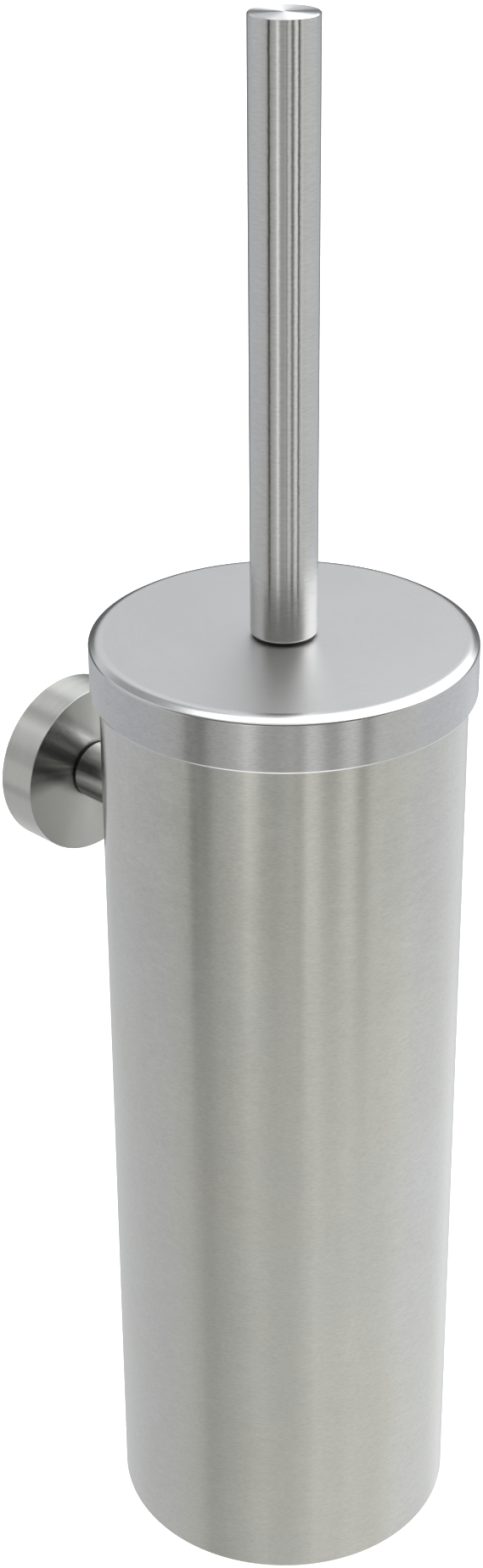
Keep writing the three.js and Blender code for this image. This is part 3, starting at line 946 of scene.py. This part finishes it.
# The clearance round a screw in its hole.
SCREW_GAP = 0.3 * MM
WALL_SCREW_HOLE = 2.3 * MM
WALL_SCREW_SHANK = 2 * MM
WALL_SCREW_SINK = 2 * MM
WALL_SCREW_LAND = 0.1 * MM
WALL_SCREW_SOCKET = 1.5 * MM
ROSE_WALL = 1.4 * MM
ROSE_FACE = 1.5 * MM
GRUB_HOLE_DEPTH = 3 * MM
GRUB_POINT = 1.7 * MM
GRUB_SOCKET = 1.9 * MM
GRUB_SOCKET_DEPTH = 2 * MM
CAP_SCREW_HEAD = 1.9 * MM
CAP_SCREW_SHANK = 2.8 * MM
CAP_SCREW_SOCKET = 3.3 * MM
CAP_SCREW_SOCKET_DEPTH = 1.2 * MM
SADDLE_BASE = 1.2 * MM
SADDLE_CHAMFER = 0.15 * MM
SADDLE_GAP = 0.3 * MM
WASHER_SHEET = 0.8 * MM
WASHER_STEPS = 6
# A face whose normal's y is below this is on the rose's front.
ROSE_FRONT = -0.9


def along_arm(node):
    """(near, far) distance from the wall, and the radius across the arm."""
    low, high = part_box(node)
    return -high[1], -low[1], (high[0] - low[0]) / 2


def wall_bracket():
    near, far, radius = along_arm("wall_bracket")
    centre = (near + far) / 2
    outline = [
        (0, near),
        (radius, near, 0.25 * MM),
        (radius, centre - BRACKET_GROOVE, 0.2 * MM),
        (radius - BRACKET_GROOVE, centre, 0.25 * MM),
        (radius, centre + BRACKET_GROOVE, 0.2 * MM),
        (radius, far, 0.5 * MM),
        (0, far),
    ]
    piece = to_object("wall_bracket_fine", out_of_wall(revolved(outline, ROUND, closed=False)))
    for screw in ("wall_screw_left", "wall_screw_right"):
        head = sizes(screw)[0] / 2 + SCREW_GAP
        top = far - 0.2 * MM
        outline = [
            (0, near - MM),
            (WALL_SCREW_HOLE, near - MM),
            (WALL_SCREW_HOLE, top - WALL_SCREW_SINK),
            (head, top),
            (head, far + MM),
            (0, far + MM),
        ]
        hole = moved(revolved(outline, SMALL, closed=False), (middle(screw)[0], 0, 0))
        carve(piece, to_object("screw_hole", out_of_wall(hole)))
    place(piece, "wall_bracket", "holder", "cast_alloy", CAST_ALLOY)


def wall_screw(node):
    near, far, radius = along_arm(node)
    outline = [
        (0, near),
        (WALL_SCREW_SHANK, near),
        (WALL_SCREW_SHANK, far - WALL_SCREW_LAND - WALL_SCREW_SINK),
        (radius, far - WALL_SCREW_LAND),
        (radius, far),
        (WALL_SCREW_SOCKET, far, 0.1 * MM),
        (0, far - WALL_SCREW_SOCKET),
    ]
    bm = moved(revolved(outline, SMALL, closed=False), (middle(node)[0], 0, 0))
    on_arm_axis(node, bm, "fastener_steel", FASTENER_STEEL)


def rose_cover():
    near, far, radius = along_arm("rose_cover")
    inner = radius - ROSE_WALL
    back = far - ROSE_FACE
    outline = [
        (inner, near, 0.2 * MM),
        (radius, near, 0.25 * MM),
        (radius, far, 0.18 * MM),
        (ARM_SCREW_HOLE, far),
        (ARM_SCREW_HOLE, back),
        (inner, back, 0.8 * MM),
    ]
    piece = to_object("rose_cover_fine", out_of_wall(revolved(outline, FINE, closed=True)))
    hole_radius = sizes("rose_grub_screw")[0] / 2 + SCREW_GAP
    hole = rod(hole_radius, -radius - MM, -radius + GRUB_HOLE_DEPTH)
    hole = moved(hole, (0, middle("rose_grub_screw")[1], ARM_AXIS[2]))
    carve(piece, to_object("grub_hole", hole))
    place(piece, "rose_cover", "holder", "rose_steel", ROSE_STEEL)
    piece.data.materials.append(FACE_STEEL)
    for face in piece.data.polygons:
        face.material_index = int(face.normal.y < ROSE_FRONT)


def rose_grub_screw():
    low, high = heights("rose_grub_screw")
    radius = sizes("rose_grub_screw")[0] / 2
    outline = [
        (0, low),
        (radius, low, 0.2 * MM),
        (radius, high - GRUB_POINT, 0.1 * MM),
        (0, high),
    ]
    shift = (0, middle("rose_grub_screw")[1], 0)
    piece = to_object("rose_grub_screw_fine", moved(revolved(outline, SMALL, closed=False), shift))
    socket = hexagon(GRUB_SOCKET, low - MM, low + GRUB_SOCKET_DEPTH)
    carve(piece, to_object("grub_socket", moved(socket, shift)))
    place(piece, "rose_grub_screw", "holder", "fastener_steel", FASTENER_STEEL)


def cap_screw(node, head_near):
    """A cap screw along the arm, with its socket at the wall's end or at the can's."""
    near, far, radius = along_arm(node)
    outline = [
        (0, 0),
        (radius, 0, 0.4 * MM),
        (radius, CAP_SCREW_HEAD, 0.2 * MM),
        (CAP_SCREW_SHANK, CAP_SCREW_HEAD, 0.1 * MM),
        (CAP_SCREW_SHANK, far - near, 0.3 * MM),
        (0, far - near),
    ]
    bm = revolved(outline, SMALL, closed=False)
    tool = hexagon(CAP_SCREW_SOCKET, -MM, CAP_SCREW_SOCKET_DEPTH)
    for mesh in (bm, tool):
        if head_near:
            move = Matrix.Translation((0, 0, near))
        else:
            move = Matrix.Translation((0, 0, far)) @ Matrix.Rotation(math.pi, 4, "X")
        bmesh.ops.transform(mesh, matrix=move, verts=mesh.verts)
    piece = to_object(node + "_fine", out_of_wall(bm))
    carve(piece, to_object("socket", out_of_wall(tool)))
    place(piece, node, "holder", "fastener_steel", FASTENER_STEEL)


def arm_gasket():
    near, far, radius = along_arm("arm_gasket")
    hole = ARM_SCREW_HOLE
    outline = [(hole, near), (radius, near, 0.08 * MM), (radius, far, 0.08 * MM), (hole, far)]
    on_arm_axis("arm_gasket", revolved(outline, ROUND, closed=True), "black_rubber", BLACK_RUBBER)


def wall_arm():
    near, far, radius = along_arm("wall_arm")
    outline = [
        (0, near + ARM_BORE),
        (ARM_SCREW_HOLE, near + ARM_BORE),
        (ARM_SCREW_HOLE, near, 0.2 * MM),
        (radius, near, 0.15 * MM),
        (radius, far, 0.15 * MM),
        (ARM_SCREW_HOLE, far, 0.2 * MM),
        (ARM_SCREW_HOLE, far - ARM_BORE),
        (0, far - ARM_BORE),
    ]
    on_arm_axis("wall_arm", revolved(outline, ROUND, closed=False), "arm_steel", ARM_STEEL)


def on_can(bm, radius, is_end):
    """Moves the points that is_end picks on to a cylinder of this radius about the can's axis."""
    for vert in bm.verts:
        if is_end(vert.co.z):
            vert.co.z = CAN_AXIS_FROM_WALL - math.sqrt(radius**2 - vert.co.x**2)


def arm_saddle():
    near, _, radius = along_arm("arm_saddle")
    end = near + SADDLE_BASE
    outline = [
        (ARM_SCREW_HOLE, near),
        (radius - SADDLE_CHAMFER, near),
        (radius, near + SADDLE_CHAMFER),
        (radius, end),
        (ARM_SCREW_HOLE, end),
    ]
    bm = revolved(outline, ROUND, closed=True)
    on_can(bm, CAN_RADIUS + SADDLE_GAP, lambda z: z > near + SADDLE_BASE / 2)
    on_arm_axis("arm_saddle", bm, "black_plastic", BLACK_PLASTIC)


def saddle_washer():
    _, _, radius = along_arm("saddle_washer")
    outer = CAN_RADIUS - CAN_WALL - SADDLE_GAP
    step = (radius - ARM_SCREW_HOLE) / WASHER_STEPS
    widths = [ARM_SCREW_HOLE + i * step for i in range(WASHER_STEPS + 1)]
    outline = [(r, 0) for r in widths] + [(r, 1) for r in reversed(widths)]
    bm = revolved(outline, ROUND, closed=True)
    on_can(bm, outer, lambda z: z == 0)
    on_can(bm, outer - WASHER_SHEET, lambda z: z == 1)
    on_arm_axis("saddle_washer", bm, "fastener_steel", FASTENER_STEEL)


# ---- Studio ----

# The side that the camera stands on, in degrees from -Y towards +X. The studio's angles count from it,
# to the right as the camera sees the object.
FRONT = -46.5
# Strips of light and dark round the object at the height of the handle: (angle, brightness).
STRIPS = [
    (-180, 0.25),
    (-155, 0.25),
    (-138, 0.64),
    (-62, 0.66),
    (-54, 0.50),
    (-50.3, 0.02),
    (-46.2, 0.02),
    (-43, 0.46),
    (-34, 0.58),
    (-25, 0.72),
    (-21, 1.30),
    (-17, 1.08),
    (-12, 0.52),
    (-3, 0.44),
    (3, 0.52),
    (9, 0.36),
    (13, 0.74),
    (17, 0.90),
    (21, 0.60),
    (25, 0.18),
    (29, 0.18),
    (33, 0.75),
    (38, 1.15),
    (43, 0.90),
    (45.8, 0.06),
    (48.8, 0.06),
    (52, 0.60),
    (58, 0.84),
    (66, 0.72),
    (140, 0.68),
    (160, 0.30),
    (180, 0.25),
]
# The same strips lower down, where they are softer.
LOWER_STRIPS = [
    (-180, 0.55),
    (-155, 0.62),
    (-140, 0.58),
    (-120, 0.57),
    (-100, 0.53),
    (-80, 0.50),
    (-68, 0.44),
    (-62, 0.37),
    (-59, 0.16),
    (-56, 0.16),
    (-53, 0.34),
    (-36, 0.47),
    (-28, 0.57),
    (-23, 0.65),
    (-18, 0.54),
    (-12, 0.45),
    (-5, 0.42),
    (0, 0.47),
    (5, 0.53),
    (9, 0.48),
    (12, 0.50),
    (14, 0.76),
    (19, 0.70),
    (26, 0.57),
    (33, 0.50),
    (42, 0.59),
    (48, 0.54),
    (52, 0.50),
    (57, 0.61),
    (90, 0.69),
    (150, 0.84),
    (180, 0.55),
]
# The light that comes back up from the white table: dimmer at the left, with only faint strips.
TABLE = [
    (-180, 0.60),
    (-150, 0.68),
    (-123, 0.65),
    (-100, 0.62),
    (-80, 0.60),
    (-66, 0.58),
    (-59, 0.54),
    (-55, 0.46),
    (-48, 0.46),
    (-40, 0.50),
    (-28, 0.55),
    (-18, 0.62),
    (-13, 0.64),
    (-8, 0.61),
    (5, 0.60),
    (12, 0.64),
    (18, 0.66),
    (22, 0.74),
    (32, 0.74),
    (40, 0.72),
    (52, 0.77),
    (64, 0.75),
    (70, 0.75),
    (76, 0.79),
    (90, 0.84),
    (120, 0.85),
    (150, 0.95),
    (180, 0.60),
]
# A faint cool tint at the back and a faint warm one in front.
COOL = (0.975, 0.99, 1.02)
WARM = (1.0, 1.0, 0.98)
TINTS = [(-180, COOL), (-100, COOL), (-60, WARM), (70, WARM), (105, COOL), (180, COOL)]
# Elevations between which one ring gives way to the next, the white table below and the sky above.
STRIPS_ABOVE = (math.radians(-27), math.radians(-21))
LOWER_STRIPS_ABOVE = (math.radians(-35), math.radians(-30))
TABLE_BELOW = (math.radians(-60), math.radians(-76))
TABLE_LIGHT = 1.5
SKY_ABOVE = (math.radians(12), math.radians(22))
SKY_LIGHT = 0.9
# A dark part in front and one behind: where round they change, how high they lie, and their soft edge.
DARK_FRONT = 0.14
DARK_FRONT_SIDE = (math.radians(60), math.radians(85))
DARK_FRONT_RISE = (math.radians(6), math.radians(40))
DARK_FRONT_EDGE = math.radians(6)
DARK_BACK = 0.10
DARK_BACK_SIDE = (math.radians(112), math.radians(132))
DARK_BACK_RISE = (math.radians(-2), math.radians(14))
DARK_BACK_EDGE = math.radians(8)
# The large light, the small light and the shade in the sky, in degrees: (angle, elevation, radius of
# the full light, radius where it ends, brightness).
DISCS = [
    (115, 50, 30, 44, 1.5),
    (-113, 74, 6, 15, 1.7),
    (-128, 50, 12, 26, -0.5),
]
FLOOR_DROP = 0.30
FLOOR_SIZE = 12.0
FLOOR_PALE = 0.9
FLOOR_ROUGHNESS = 0.9
FLOOR_GLOW = 0.55


def towards(angle, elevation=0):
    """A unit vector at an angle from the front and an elevation."""
    turn, rise = math.radians(FRONT + angle), math.radians(elevation)
    return math.sin(turn) * math.cos(rise), -math.cos(turn) * math.cos(rise), math.sin(rise)


def studio():
    """Soft strips all round, a white table below, one large light up to the right, and a small light
    and a soft shade up to the left. The camera itself sees plain white."""
    world = bpy.data.worlds.new("studio")
    bpy.context.scene.world = world
    world.use_nodes = True
    nodes = Nodes(world.node_tree)
    nodes.tree.nodes.clear()
    direction = nodes.node("ShaderNodeTexCoord").outputs["Generated"]
    forward = nodes.vector("DOT_PRODUCT", direction, towards(0))
    rightward = nodes.vector("DOT_PRODUCT", direction, towards(90))
    angle = nodes.math("ARCTAN2", rightward, forward)
    elevation = nodes.math("ARCSINE", nodes.parts(direction)[2])
    share = nodes.math("MULTIPLY_ADD", angle, 1 / (2 * math.pi), 0.5)

    def round_ramp(stops):
        return nodes.ramp(share, [(turn / 360 + 0.5, colour) for turn, colour in stops])

    ring = nodes.mixed(
        round_ramp(TABLE), round_ramp(LOWER_STRIPS), nodes.smooth(elevation, *LOWER_STRIPS_ABOVE)
    )
    ring = nodes.mixed(ring, round_ramp(STRIPS), nodes.smooth(elevation, *STRIPS_ABOVE))
    ring = nodes.mixed(ring, TABLE_LIGHT, nodes.smooth(elevation, *TABLE_BELOW))
    ring = nodes.mixed(ring, SKY_LIGHT, nodes.smooth(elevation, *SKY_ABOVE))
    side = nodes.math("ABSOLUTE", angle)
    in_front = nodes.product(
        nodes.math("SUBTRACT", 1.0, nodes.smooth(side, *DARK_FRONT_SIDE)),
        nodes.window(elevation, *DARK_FRONT_RISE, DARK_FRONT_EDGE),
    )
    behind = nodes.product(
        nodes.smooth(side, *DARK_BACK_SIDE),
        nodes.window(elevation, *DARK_BACK_RISE, DARK_BACK_EDGE),
    )
    level = nodes.mixed(nodes.mixed(ring, DARK_FRONT, in_front), DARK_BACK, behind)
    for turn, rise, inner, outer, light in DISCS:
        closeness = nodes.vector("DOT_PRODUCT", direction, towards(turn, rise))
        edge = math.cos(math.radians(outer)), math.cos(math.radians(inner))
        level = nodes.total(level, nodes.product(nodes.smooth(closeness, *edge), light))
    lights = nodes.node("ShaderNodeBackground")
    nodes.feed(lights.inputs["Color"], nodes.scaled(round_ramp(TINTS), level))
    backdrop = nodes.node("ShaderNodeBackground")
    backdrop.inputs["Color"].default_value = (1, 1, 1, 1)
    mix = nodes.node("ShaderNodeMixShader")
    nodes.feed(mix.inputs[0], nodes.node("ShaderNodeLightPath").outputs["Is Camera Ray"])
    nodes.feed(mix.inputs[1], lights.outputs[0])
    nodes.feed(mix.inputs[2], backdrop.outputs[0])
    nodes.feed(nodes.node("ShaderNodeOutputWorld").inputs[0], mix.outputs[0])


def floor():
    """A plain pale floor well below the can, which the steel doesn't mirror."""
    level = CAD_BOX[0][2] - FLOOR_DROP
    bm = bmesh.new()
    half = FLOOR_SIZE / 2
    corners = [(-half, -half), (half, -half), (half, half), (-half, half)]
    bm.faces.new([bm.verts.new((x, y, level)) for x, y in corners])
    piece = to_object("floor", bm)
    pale = Material("pale_floor")
    pale.set("Base Color", (FLOOR_PALE, FLOOR_PALE, FLOOR_PALE, 1))
    pale.set("Roughness", FLOOR_ROUGHNESS)
    pale.set("Emission Color", (1, 1, 1, 1))
    pale.set("Emission Strength", FLOOR_GLOW)
    piece.data.materials.append(pale.made)
    piece.visible_glossy = False
    piece.visible_diffuse = False


# ---- Camera ----

CAMERA_AZIMUTH = -46.48
CAMERA_DISTANCE = 559.8 * MM
CAMERA_ABOVE_LID = 255.4 * MM
CAMERA_HEADING = -45.41
CAMERA_PITCH = -27.89
CAMERA_ROLL = -0.477
CAMERA_LENS = 58.82
CAMERA_SENSOR = 36.0


def camera():
    """The photograph's viewpoint, given about the can's axis and the lid's top."""
    around, heading = math.radians(CAMERA_AZIMUTH), math.radians(CAMERA_HEADING)
    pitch, roll = math.radians(CAMERA_PITCH), math.radians(CAMERA_ROLL)
    lid_top = heights("lid")[1]
    location = Vector(CAN_AXIS) + Vector(
        (
            CAMERA_DISTANCE * math.sin(around),
            -CAMERA_DISTANCE * math.cos(around),
            lid_top + CAMERA_ABOVE_LID,
        )
    )
    ahead = Vector(
        (-math.sin(heading) * math.cos(pitch), math.cos(heading) * math.cos(pitch), math.sin(pitch))
    )
    level_right = Vector((math.cos(heading), math.sin(heading), 0))
    level_up = level_right.cross(ahead)
    right = level_right * math.cos(roll) + level_up * math.sin(roll)
    up = level_up * math.cos(roll) - level_right * math.sin(roll)
    turn = Matrix((right, up, -ahead)).transposed().to_4x4()
    data = bpy.data.cameras.new("camera")
    data.lens = CAMERA_LENS
    data.sensor_width = CAMERA_SENSOR
    made = bpy.data.objects.new("camera", data)
    made.matrix_world = Matrix.Translation(location) @ turn
    bpy.context.scene.collection.objects.link(made)
    bpy.context.scene.camera = made


camera()
studio()
floor()
can_shell()
can_base()
can_liner()
lid()
lid_bush()
handle_tube()
handle_foot_plug()
brush_stem()
stem_washer()
stem_nut()
brush_core()
for row in range(1, BRISTLE_ROWS + 1):
    bristle_row(row)
bristle_tip()
wall_bracket()
wall_screw("wall_screw_left")
wall_screw("wall_screw_right")
rose_cover()
rose_grub_screw()
cap_screw("arm_root_screw", head_near=True)
cap_screw("arm_can_screw", head_near=False)
arm_gasket()
wall_arm()
arm_saddle()
saddle_washer()
bpy.context.scene.view_settings.view_transform = "Standard"
